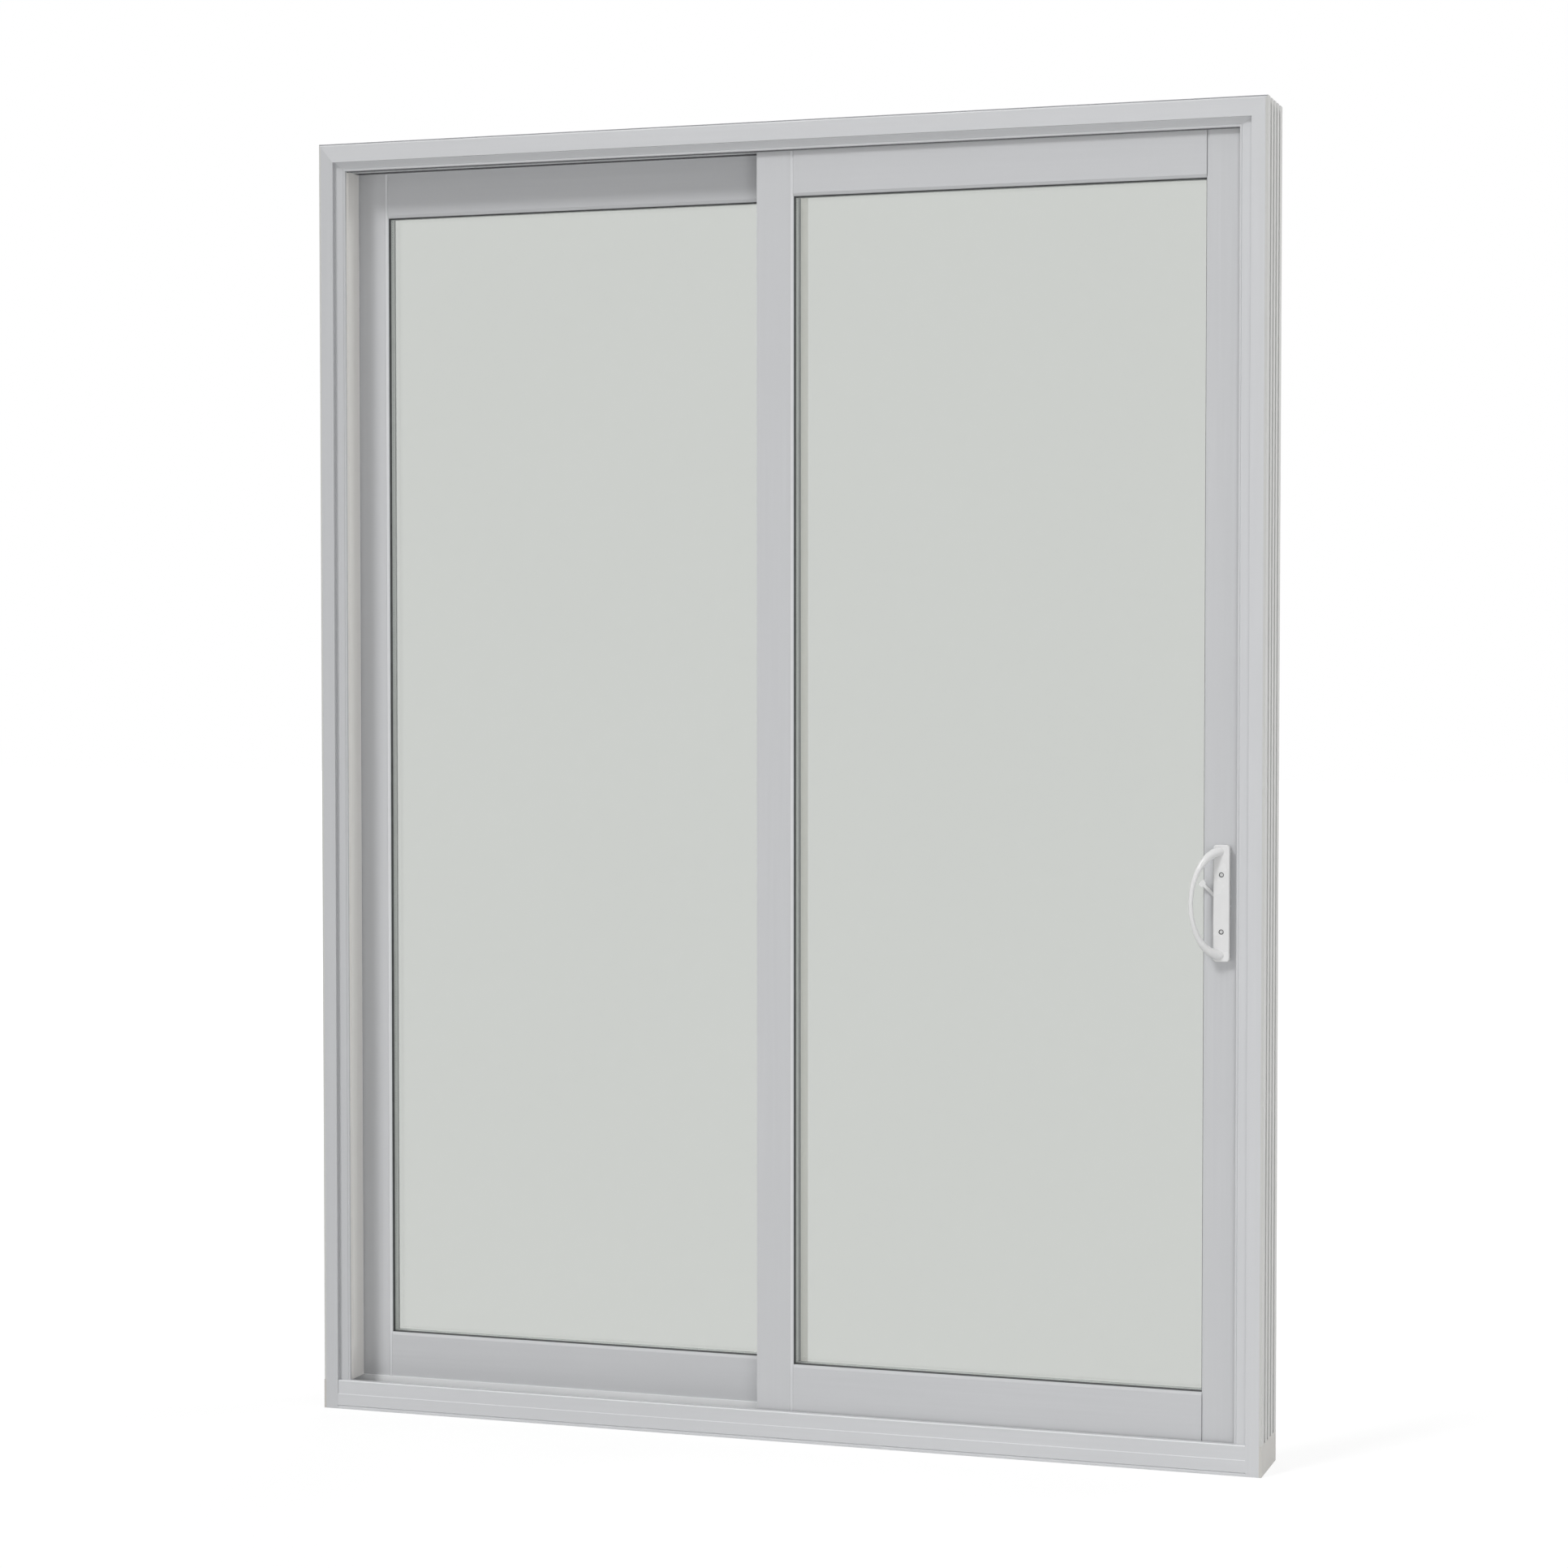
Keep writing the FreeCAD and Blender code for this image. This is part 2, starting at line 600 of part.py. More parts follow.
def cut_keeper_recess(jamb):
    recess = new_sketch(jamb, "YZ_Plane", "-jamb_wall")
    draw_box(recess, "slide_middle - lock_plate_width / 2", "slide_middle + lock_plate_width / 2",
             "handle_height - keeper_height / 2", "handle_height + keeper_height / 2")
    cut(jamb, recess, "lock_plate_thickness", reverse=True)


def make_slotted_plate(label, height, x):
    """Thin lock plate with a slot for the hook."""
    body = new_body(label)
    outline = new_sketch(body, "YZ_Plane")
    half_width = "lock_plate_width / 2"
    draw_box(outline, f"-{half_width}", half_width, f"-{height} / 2", f"{height} / 2")
    draw_box(outline, "-keeper_slot_width / 2", "keeper_slot_width / 2",
             "-keeper_slot_height / 2", "keeper_slot_height / 2")
    extrude(body, "Pad", outline, "lock_plate_thickness")
    place(body, x, "front_y + slide_middle", "handle_height")


def make_roller(prefix, x):
    """Roller housing in the rail's channel, and its grooved wheel on an axle."""
    middle_y = "front_y + slide_middle"
    housing = new_body(f"{prefix}_roller_housing")
    side = new_sketch(housing, "YZ_Plane", "-housing_length / 2")
    half = "rail_channel_width / 2"
    slot = "(wheel_width / 2 + wheel_play)"
    crown = "(axle_height + wheel_rim_radius + wheel_play)"
    draw_outline(side, [
        (f"-{half}", "0"),
        (f"-{slot}", "0"),
        (f"-{slot}", crown),
        (slot, crown),
        (slot, "0"),
        (half, "0"),
        (half, "rail_channel_height"),
        (f"-{half}", "rail_channel_height"),
    ])
    extrude(housing, "Pad", side, "housing_length")
    hole = new_sketch(housing, "XZ_Plane", "-rail_channel_width / 2")
    draw_circle(hole, "axle_radius + axle_play", "0", "axle_height")
    cut(housing, hole, "rail_channel_width", reverse=True)
    place(housing, x, middle_y, "panel_bottom")

    wheel = new_body(f"{prefix}_roller_wheel")
    half_section = new_sketch(wheel, "XY_Plane")
    draw_outline(half_section, [
        ("0", "-rail_channel_width / 2"),
        ("axle_radius", "-rail_channel_width / 2"),
        ("axle_radius", "-wheel_width / 2"),
        ("wheel_rim_radius", "-wheel_width / 2"),
        ("wheel_rim_radius", "-wheel_groove_width / 2"),
        ("wheel_groove_radius", "-wheel_groove_width / 2"),
        ("wheel_groove_radius", "wheel_groove_width / 2"),
        ("wheel_rim_radius", "wheel_groove_width / 2"),
        ("wheel_rim_radius", "wheel_width / 2"),
        ("axle_radius", "wheel_width / 2"),
        ("axle_radius", "rail_channel_width / 2"),
        ("0", "rail_channel_width / 2"),
    ])
    turn = wheel.newObject("PartDesign::Revolution", wheel.Label + "_turn")
    turn.Profile = half_section
    turn.ReferenceAxis = (half_section, ["V_Axis"])
    doc.recompute()
    place(wheel, x, middle_y, "axle_z")


def draw_rounded_box(sketch, width, height, radius):
    """Draw a box centred on the origin with four rounded corners."""
    inner_x = value(f"{width} / 2 - {radius}")
    inner_y = value(f"{height} / 2 - {radius}")
    size = value(radius)
    quarter = math.pi / 2
    axis = FreeCAD.Vector(0, 0, 1)
    for index, (sign_x, sign_y) in enumerate(((1, 1), (-1, 1), (-1, -1), (1, -1))):
        centre = FreeCAD.Vector(sign_x * inner_x, sign_y * inner_y, 0)
        circle = Part.Circle(centre, axis, size)
        sketch.addGeometry(Part.ArcOfCircle(circle, index * quarter, (index + 1) * quarter))
    for index in range(4):
        start = sketch.getPoint(index, 2)
        end = sketch.getPoint((index + 1) % 4, 1)
        edge = sketch.addGeometry(Part.LineSegment(start, end))
        sketch.addConstraint(Sketcher.Constraint("Tangent", index, 2, edge, 1))
        sketch.addConstraint(Sketcher.Constraint("Tangent", edge, 2, (index + 1) % 4, 1))
    for index, (sign_x, sign_y) in enumerate(((1, 1), (-1, 1), (-1, -1), (1, -1))):
        pin_point(sketch, index, 3, f"{sign_x} * ({width} / 2 - {radius})",
                  f"{sign_y} * ({height} / 2 - {radius})")
    set_radius(sketch, 0, radius)


def bevel_front_edge(body, plate, outward):
    front = outward * value("plate_thickness")
    tolerance = value("plate_edge") / 2
    names = []
    for number, edge in enumerate(plate.Shape.Edges, start=1):
        box = edge.BoundBox
        if abs(box.YMin - front) < tolerance and abs(box.YMax - front) < tolerance:
            names.append(f"Edge{number}")
    bevel = body.newObject("PartDesign::Chamfer", body.Label + "_bevel")
    bevel.Base = (plate, names)
    bevel.setExpression("Size", formula("plate_edge"))
    doc.recompute()


def make_plate(label, outward, face):
    """Handle plate with a bevelled front. Outward is -1 for the room side."""
    body = new_body(label, whole=False)
    outline = new_sketch(body, "XZ_Plane")
    draw_rounded_box(outline, "plate_width", "plate_height", "plate_corner")
    plate = extrude(body, "Pad", outline, "plate_thickness", reverse=outward > 0)
    bevel_front_edge(body, plate, outward)
    place(body, "handle_x", f"front_y + {face}", "handle_height")
    return body


def make_ring(label, turn):
    """Round section of a pull, square to its middle line at an angle along half an ellipse."""
    ring = doc.addObject("Part::Circle", label)
    ring.setExpression("Radius", formula(
        f"pull_radius + (root_radius - pull_radius) * abs(sin({turn}))^pull_taper"))
    lean = f"atan2(-pull_reach * sin({turn}); pull_span / 2 * cos({turn}))"
    ring.Placement = FreeCAD.Placement(FreeCAD.Vector(), FreeCAD.Rotation(FreeCAD.Vector(0, 1, 0), 1))
    ring.setExpression("Placement.Rotation.Angle", formula(lean))
    place(ring, f"pull_reach * cos({turn})", "0", f"pull_span / 2 * sin({turn})")
    return ring


def make_pull(label, outward, face):
    """Bow-shaped bar from the plate's upper end to its lower end, thicker at its two roots."""
    rings = []
    for index in range(PULL_RINGS):
        turn = f"({index} * 180 / {PULL_RINGS - 1} - 90)"
        rings.append(make_ring(f"{label}_ring", turn))
    pull = doc.addObject("Part::Loft", label)
    pull.Sections = rings
    pull.Solid = True
    pull.Ruled = True
    pull.Placement = FreeCAD.Placement(FreeCAD.Vector(), FreeCAD.Rotation(FreeCAD.Vector(0, 0, 1), 1))
    pull.setExpression("Placement.Rotation.Angle", formula(f"180 - {outward} * (90 - pull_tilt)"))
    place(pull, "handle_x", f"front_y + {face} + {outward} * plate_thickness / 2", "handle_height")
    return pull


def join_handle(label, plate, pull):
    """Plate and pull are one casting."""
    handle = doc.addObject("Part::MultiFuse", label)
    handle.Label = label
    handle.Shapes = [plate, pull]
    doc.recompute()
    sub_parts.append(handle)


def recess_screws(body):
    """Sink two round recesses for screw heads in the room-side plate."""
    recess = new_sketch(body, "XZ_Plane", "plate_thickness")
    for sign in (-1, 1):
        draw_circle(recess, "screw_recess_radius", "0", f"{sign} * screw_spacing / 2")
    cut(body, recess, "screw_recess_depth")


def hollow_plate(body):
    """Hollow the room-side plate for the latch's hub and slot its glass-side wall."""
    hollow = new_sketch(body, "XZ_Plane")
    draw_box(hollow, "-plate_width", "plate_width / 2 - plate_wall",
             "-latch_slot / 2", "latch_slot / 2")
    cut(body, hollow, "plate_hollow", reverse=True)


def make_thumb_latch():
    """Lever with a flared tip, lying behind the plate's front wall."""
    body = new_body("thumb_latch")
    back = "-(plate_hollow - latch_play - latch_thickness)"
    hub = new_sketch(body, "XZ_Plane", f"-({back})")
    draw_circle(hub, "latch_hub_radius")
    extrude(body, "Pad", hub, "latch_thickness")
    arm = new_sketch(body, "XZ_Plane", f"-({back})")
    tip_start = "latch_length - latch_tip_length"
    draw_outline(arm, [
        ("0", "-latch_arm_width / 2"),
        (tip_start, "-latch_arm_width / 2"),
        (tip_start, "-latch_collar / 2"),
        ("latch_length", "-latch_tip_width / 2"),
        ("latch_length", "latch_tip_width / 2"),
        (tip_start, "latch_collar / 2"),
        (tip_start, "latch_arm_width / 2"),
        ("0", "latch_arm_width / 2"),
    ])
    extrude(body, "Pad", arm, "latch_thickness")
    spindle = new_sketch(body, "XZ_Plane", "-spindle_length")
    draw_circle(spindle, "spindle_radius")
    extrude(body, "Pad", spindle, f"spindle_length - ({back})")
    body.Placement = FreeCAD.Placement(FreeCAD.Vector(), FreeCAD.Rotation(FreeCAD.Vector(0, 1, 0), 1))
    body.setExpression("Placement.Rotation.Angle", formula("180 + latch_angle"))
    place(body, "handle_x", "front_y + slide_face", "handle_height")


def build_door():
    make_head()
    make_jamb("left_jamb", -1)
    right_jamb = make_jamb("right_jamb", 1)
    cut_keeper_recess(right_jamb)
    make_sill()
    make_end_pad("left_sill_end_pad", -1)
    make_end_pad("right_sill_end_pad", 1)
    make_jamb_cover("left_jamb_cover", -1, "lip_back", "fin_front")
    make_jamb_cover("right_jamb_cover", 1, "fixed_face", "fixed_back")
    make_roller_track()
    make_slotted_plate("lock_keeper", "keeper_height", "half_width - jamb_wall")

    make_panel("fixed", -1, "fixed_face", "jamb_stile")
    lock_stile, meeting_stile, top_rail, bottom_rail = make_panel("sliding", 1, "slide_face", "lock_stile")
    cut_guide_groove(lock_stile, "panel_height", "outer_stile", reverse=False)
    cut_guide_groove(meeting_stile, "panel_height", "meeting_stile", reverse=True)
    cut_guide_groove(top_rail, "0", "rail_length", reverse=True)
    cut_rail_channel(bottom_rail)
    cut_lock_stile(lock_stile)
    make_interlock("fixed_interlock", -1, "fixed_face")
    make_interlock("sliding_interlock", 1, "slide_back")
    make_slotted_plate("lock_face_plate", "lock_plate_height", "panel_edge_x - lock_plate_thickness")
    make_roller("left", "housing_inset - panel_inner_x")
    make_roller("right", "panel_edge_x - housing_inset")

    room_plate = make_plate("interior_plate", -1, "slide_face")
    recess_screws(room_plate)
    hollow_plate(room_plate)
    join_handle("interior_handle", room_plate, make_pull("interior_pull", -1, "slide_face"))
    outer_plate = make_plate("exterior_plate", 1, "slide_back")
    join_handle("exterior_handle", outer_plate, make_pull("exterior_pull", 1, "slide_back"))
    make_thumb_latch()


def write_parts():
    doc.recompute()
    for item in doc.Objects:
        if "Invalid" in item.State or "Error" in item.State:
            raise RuntimeError(f"{item.Label} did not build: {item.State}")
    for item in sub_parts:
        if item.Shape.isNull() or not item.Shape.isValid():
            raise RuntimeError(f"{item.Label} has no valid shape")
    os.makedirs("parts", exist_ok=True)
    for item in sub_parts:
        item.Shape.exportStep(f"parts/{item.Label}.step")
        box = item.Shape.BoundBox
        print(f"{item.Label}: {len(item.Shape.Solids)} solid, {item.Shape.Volume / 1000:.1f} cm3, "
              f"x {box.XMin:.1f} {box.XMax:.1f}, y {box.YMin:.1f} {box.YMax:.1f}, "
              f"z {box.ZMin:.1f} {box.ZMax:.1f}")


build_door()
write_parts()
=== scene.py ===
import json
import math

import bpy
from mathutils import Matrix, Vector


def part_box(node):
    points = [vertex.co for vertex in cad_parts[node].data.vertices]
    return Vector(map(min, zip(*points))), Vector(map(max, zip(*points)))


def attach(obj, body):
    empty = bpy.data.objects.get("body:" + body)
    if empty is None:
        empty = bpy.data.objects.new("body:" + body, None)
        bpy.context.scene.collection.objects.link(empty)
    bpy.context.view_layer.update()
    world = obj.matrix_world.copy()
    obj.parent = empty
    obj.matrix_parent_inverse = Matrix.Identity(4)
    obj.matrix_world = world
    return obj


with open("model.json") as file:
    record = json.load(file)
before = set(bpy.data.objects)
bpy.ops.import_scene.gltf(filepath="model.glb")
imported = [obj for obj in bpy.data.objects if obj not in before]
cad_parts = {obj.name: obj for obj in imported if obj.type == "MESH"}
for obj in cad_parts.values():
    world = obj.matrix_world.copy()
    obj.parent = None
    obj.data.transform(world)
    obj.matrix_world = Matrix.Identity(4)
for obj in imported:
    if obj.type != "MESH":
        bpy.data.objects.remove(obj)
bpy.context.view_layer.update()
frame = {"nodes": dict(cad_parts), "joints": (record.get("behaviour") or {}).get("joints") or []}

# Looks of a two-panel sliding patio door in pale grey vinyl. Metres, in the solids' own frame:
# X along the opening, +Y from the room to the outside, +Z up, origin under the middle of the sill.

MM = 0.001
QUARTER_TURN = math.pi / 2

# View of the door, from the room and a little to the right
CAMERA_PLACE = (1.64462, -4.97604, 1.19251)
CAMERA_TURN = math.radians(18.2856)
CAMERA_DIP = math.radians(1.9932)
CAMERA_LENS = 77.897
CAMERA_SENSOR = 36.0


def tone(red, green, blue):
    """Linear colour of a tone written in the usual 0 to 255 steps."""
    def linear(step):
        share = step / 255
        if share <= 0.04045:
            return share / 12.92
        return ((share + 0.055) / 1.055) ** 2.4
    return (linear(red), linear(green), linear(blue), 1.0)


# Tones of the finishes, as they look under plain light; the tones for the left jamb, the ribbed sides, the
# sill's channel, the highlight lines and bands, and the fixed meeting stile's side paint light and shade
# into the colour
WHITE = tone(255, 255, 255)
FRAME_VINYL = tone(196, 197, 199)
# Painted shade: a darker copy of the frame vinyl for the left jamb, for the weaker light falling on it
SHADED_LEFT_JAMB_VINYL = tone(187, 188, 190)
PANEL_VINYL = tone(190, 191, 193)
# Painted shade: a darker, warmer copy of the frame vinyl for the dimmer light on the jambs' ribbed outer
# sides
SHADED_RIB_VINYL = tone(192, 192, 190)
# Painted light: a paler tone inside the sill's channel, standing in for light reaching down into it
LIGHTENED_CHANNEL_VINYL = tone(226, 227, 228)
# Painted highlight: a lighter tone for thin lines on the sill's ledge and front top edge and for bands
# along the stiles' edges by the glass
PAINTED_HIGHLIGHT_VINYL = tone(214, 215, 217)
COVER_VINYL = tone(226, 224, 221)
# Painted light: a pale tone on the fixed meeting stile's side face behind the sliding glass, standing in
# for light it does not get
LIT_SIDE_VINYL = tone(245, 242, 238)
PAD_VINYL = tone(186, 184, 180)
CLEAR_GLASS = tone(251, 252, 251)
TINTED_GLASS = tone(202, 204, 201)
GASKET_RUBBER = tone(70, 71, 72)
SPACER_METAL = tone(186, 189, 187)
TRACK_METAL = tone(200, 201, 202)
PLATED_STEEL = tone(190, 190, 186)
ROLLER_NYLON = tone(214, 211, 202)
HANDLE_ENAMEL = tone(215, 215, 215)
PILE_GREY = tone(120, 121, 123)

# Grain of the finishes: stretched along X or Z, and roughness of the two metals
ALONG_X = (0.02, 1, 1)
ALONG_Z = (1, 1, 0.02)
TRACK_GRIT = 0.32
PLATED_GRIT = 0.3

# Zones of the vinyl that paint light and shade: darker ribbed outsides as painted shade, painted highlight
# lines on the sill's ledge and top edge, painted light bands along stiles by the glass.
# FAR lies beyond every edge of the door.
FAR = 10.0
EDGE_ROOM = 0.3 * MM
RIB_DEPTH = 3.6 * MM
LEDGE_HEIGHT = 24 * MM
LEDGE_WIDTH = 1.2 * MM
ARRIS_WIDTH = 1.4 * MM
ARRIS_DEPTH = 2.4 * MM
BAND_WIDTH = 4.2 * MM

# Rubber wedge that shows beside the glass
WEDGE_REACH = 1.8 * MM

# Spacer bars: a line of small slots along the middle
SPACER_PITCH = 4 * MM
SPACER_SLOT_SHARE = 0.4
SPACER_SLOT_HALF = 0.6 * MM

# Screws: those of the handle sit in recesses of its plate, the others on the lock's two plates
PLATE_DEPTH = 12 * MM
RECESS_DEPTH = 1.6 * MM
HANDLE_SCREW_REACH = 42 * MM
HANDLE_SCREW = {"Radius": 2.7 * MM, "Height": 1.3 * MM, "Slot": 0.9 * MM}
# Painted shade: a thin dark rubber disc under each handle screw stands in for the shade in the screw's
# recess
SHADE_DISC = {"Radius": 3.7 * MM, "Height": 0.25 * MM}
PLATE_SCREW_INSET = 13 * MM
PLATE_SCREW = {"Radius": 3.4 * MM, "Height": 0.6 * MM, "Slot": 0.9 * MM}
SCREW_SIDES = 32
SCREW_CROWN = 0.78          # top of the head, as a share of its radius
SLOT_LENGTH = 1.15          # the same for each bar of the cross
SLOT_DEPTHS = (1.0, 1.1)    # the second bar is deeper, so that no two cuts share a plane

# Pile weatherstrips on the frame
LIP_BACK = 11 * MM
PILE_INSET = 6 * MM
PILE_EDGE = 3.2 * MM
PILE_HANG = 2 * MM
PILE_END = 0.5 * MM
PILE_SIZES = {"Pitch": 2.6 * MM, "Bristle": 3.5 * MM, "Thickness": 0.85 * MM, "Seed": 7}
PILE_BACKING = 0.8 * MM
PILE_WIDTH = 6 * MM
PILE_ROWS = (-1.5 * MM, 0.0, 1.5 * MM)
TUFT_SIDES = 5
TUFT_TIP = 0.45             # as a share of the tuft's foot
TUFT_SHORTEST = 0.86        # as a share of the bristle

# Lamps and surroundings
ROOM_GLOW = 0.22
KEY_STRENGTH = 1.58
KEY_SPREAD = math.radians(13)
KEY_PLACE = Vector((-2, -3, 4))
KEY_TRAVEL = Vector((0.6, 1.0, -1.2))
SOFT_LAMPS = {
    "fill": {"place": (2.5, -4.3, 1.1), "aim": (0.0, 0.0, 1.1), "size": 2.2, "power": 46.0},
    "low": {"place": (-3.6, -6.5, 0.2), "aim": (-0.1, 0.0, 1.8), "size": 2.6, "power": 108.0},
    "side": {"place": (4.5, -0.6, 1.4), "aim": (0.0, 0.0, 1.1), "size": 2.0, "power": 25.0},
    "overhead": {"place": (0.1, -0.9, 4.6), "aim": (0.1, -0.4, 0.0), "size": 2.5, "power": 30.0},
    "back": {"place": (3.3, 2.9, 2.0), "aim": (0.0, 0.0, 1.0), "size": 2.4, "power": 75.0},
    "rear": {"place": (-1.8, 4.4, 1.4), "aim": (0.0, 0.0, 1.0), "size": 2.4, "power": 90.0},
}
FLOOR_SIZE = 60.0
FLOOR_DROP = 0.2 * MM
FLOOR_ALBEDO = 0.7
FLOOR_WHITE = 1.13
FLOOR_MIRRORED = 1.0
FLOOR_SHADOW_SHARE = 0.25
FLOOR_SHADOW_NEAR = 1.0
FLOOR_SHADOW_FAR = 4.0


# Node helpers

def give(tree, socket, item):
    """Link another node's output to a socket, or set a plain value on it."""
    if isinstance(item, bpy.types.NodeSocket):
        tree.links.new(item, socket)
    else:
        socket.default_value = item


def add(tree, kind, inputs=None, **settings):
    """Add a node; an input is a plain value or another node's output."""
    node = tree.nodes.new(kind)
    for name, item in settings.items():
        setattr(node, name, item)
    for name, item in (inputs or {}).items():
        give(tree, node.inputs[name], item)
    return node


def feed(tree, shader, **sockets):
    """The same for a shader that is there already; an underscore stands for a space."""
    for name, item in sockets.items():
        give(tree, shader.inputs[name.replace("_", " ")], item)


def calculate(tree, operation, *numbers):
    return add(tree, "ShaderNodeMath", dict(enumerate(numbers)), operation=operation).outputs[0]


def above(tree, number, limit):
    """One where a number is above a limit, else nought."""
    return calculate(tree, "GREATER_THAN", number, limit)


def below(tree, number, limit):
    return calculate(tree, "LESS_THAN", number, limit)


def own_place(tree):
    """The piece's own coordinates."""
    return add(tree, "ShaderNodeTexCoord").outputs["Object"]


def axes(tree):
    """The piece's own X, Y and Z."""
    return add(tree, "ShaderNodeSeparateXYZ", {"Vector": own_place(tree)}).outputs


def within(tree, zone):
    """One inside the limits that a zone sets on some axes, else nought."""
    place = axes(tree)
    share = 1.0
    for axis, (low, high) in zone.items():
        for limit in (above(tree, place[axis], low), below(tree, place[axis], high)):
            share = calculate(tree, "MULTIPLY", share, limit)
    return share


def ray_is(tree, *kinds):
    """One where the ray is of one of these kinds, else nought."""
    path = add(tree, "ShaderNodeLightPath")
    total = path.outputs[kinds[0]]
    for kind in kinds[1:]:
        total = calculate(tree, "MAXIMUM", total, path.outputs[kind])
    return total


def noise(tree, scale, detail, stretch=(1, 1, 1)):
    """Noise on the piece's own coordinates, drawn out along an axis by a small stretch."""
    mapped = add(tree, "ShaderNodeMapping", {"Vector": own_place(tree), "Scale": stretch}).outputs[0]
    return add(tree, "ShaderNodeTexNoise", {"Vector": mapped, "Scale": scale, "Detail": detail}).outputs[0]


def spread(tree, factor, low=0.0, high=1.0):
    """Turn the middle of a noise into a number between low and high."""
    inputs = {"Value": factor, "From Min": 0.3, "From Max": 0.7, "To Min": low, "To Max": high}
    return add(tree, "ShaderNodeMapRange", inputs).outputs[0]


def scaled(colour, share):
    """The same colour, lighter or darker."""
    return tuple(channel * share for channel in colour[:3]) + (1.0,)


def mix_tones(tree, factor, first, second, blend="MIX"):
    inputs = {0: factor, 6: first, 7: second}
    return add(tree, "ShaderNodeMix", inputs, data_type="RGBA", blend_type=blend).outputs[2]


def mix_shaders(tree, factor, first, second):
    return add(tree, "ShaderNodeMixShader", {0: factor, 1: first, 2: second}).outputs[0]


def bump(tree, height, strength, depth):
    inputs = {"Height": height, "Strength": strength, "Distance": depth}
    return add(tree, "ShaderNodeBump", inputs).outputs[0]


# Finishes

def new_finish(name):
    finish = bpy.data.materials.new(name)
    finish.use_nodes = True
    tree = finish.node_tree
    return finish, tree, tree.nodes["Principled BSDF"]


def vinyl_finish(name, colour, run, zones=()):
    """Extruded vinyl: faint streaks along its run, fine orange peel and uneven gloss.

    Zones are pairs of axis limits and the tone inside them; the zones used here paint light, shade and
    highlights.
    """
    finish, tree, skin = new_finish(name)
    plain = colour
    for zone, zone_colour in zones:
        plain = mix_tones(tree, within(tree, zone), plain, zone_colour)
    streak = spread(tree, noise(tree, scale=160, detail=3, stretch=run))
    cloud = noise(tree, scale=4, detail=2)
    streaked = mix_tones(tree, streak, scaled(WHITE, 0.975), scaled(WHITE, 1.02))
    shade = mix_tones(tree, spread(tree, cloud), scaled(WHITE, 0.985), streaked)
    peel = noise(tree, scale=900, detail=2)
    feed(tree, skin, Base_Color=mix_tones(tree, 1.0, plain, shade, "MULTIPLY"),
         Roughness=spread(tree, cloud, low=0.38, high=0.5), Specular_IOR_Level=0.35,
         Normal=bump(tree, peel, strength=0.06, depth=0.2 * MM))
    return finish


def glass_finish(name, colour):
    """Float glass, faintly tinted, that also lets lamp light through."""
    finish, tree, pane = new_finish(name)
    haze = spread(tree, noise(tree, scale=2.5, detail=1))
    tint = mix_tones(tree, haze, colour, scaled(colour, 0.997))
    feed(tree, pane, Base_Color=tint, Roughness=0.0, IOR=1.45, Transmission_Weight=1.0)
    clear = add(tree, "ShaderNodeBsdfTransparent", {"Color": CLEAR_GLASS})
    lamp_light = ray_is(tree, "Is Shadow Ray", "Is Diffuse Ray")
    mixed = mix_shaders(tree, lamp_light, pane.outputs[0], clear.outputs[0])
    feed(tree, tree.nodes["Material Output"], Surface=mixed)
    return finish


def rubber_finish():
    """Matt black glazing rubber with a dry bloom."""
    finish, tree, skin = new_finish("glazing_rubber")
    bloom = spread(tree, noise(tree, scale=60, detail=4))
    base = mix_tones(tree, bloom, scaled(GASKET_RUBBER, 0.8), scaled(GASKET_RUBBER, 1.25))
    grain = noise(tree, scale=1500, detail=2)
    feed(tree, skin, Base_Color=base, Roughness=spread(tree, bloom, low=0.7, high=0.85),
         Normal=bump(tree, grain, strength=0.2, depth=0.1 * MM))
    return finish


def metal_finish(name, colour, run, grit):
    """Rolled or plated metal, brushed along its run."""
    finish, tree, skin = new_finish(name)
    brush = noise(tree, scale=900, detail=3, stretch=run)
    cloud = spread(tree, noise(tree, scale=14, detail=3))
    base = mix_tones(tree, cloud, scaled(colour, 0.88), colour)
    feed(tree, skin, Base_Color=base, Metallic=1.0,
         Roughness=spread(tree, brush, low=grit - 0.06, high=grit + 0.08),
         Normal=bump(tree, brush, strength=0.12, depth=0.1 * MM))
    return finish


def spacer_finish(name, bar_middle):
    """Roll-formed spacer bar, dull, with a line of small slots along its middle."""
    finish, tree, skin = new_finish(name)
    cloud = spread(tree, noise(tree, scale=60, detail=3))
    bar = mix_tones(tree, cloud, scaled(SPACER_METAL, 0.95), SPACER_METAL)
    place = axes(tree)
    along = calculate(tree, "DIVIDE", calculate(tree, "ADD", place["X"], place["Z"]), SPACER_PITCH)
    cut = below(tree, calculate(tree, "FRACT", along), SPACER_SLOT_SHARE)
    off_middle = calculate(tree, "ABSOLUTE", calculate(tree, "SUBTRACT", place["Y"], bar_middle))
    slot = calculate(tree, "MULTIPLY", cut, below(tree, off_middle, SPACER_SLOT_HALF))
    base = mix_tones(tree, slot, bar, scaled(SPACER_METAL, 0.25))
    feed(tree, skin, Base_Color=base, Metallic=0.35, Roughness=spread(tree, cloud, low=0.45, high=0.55))
    return finish


def pile_finish():
    """Grey woven pile."""
    finish, tree, skin = new_finish("pile_grey")
    tuft = spread(tree, noise(tree, scale=700, detail=2))
    base = mix_tones(tree, tuft, scaled(PILE_GREY, 0.6), PILE_GREY)
    feed(tree, skin, Base_Color=base, Roughness=spread(tree, tuft, low=0.8, high=0.95))
    return finish


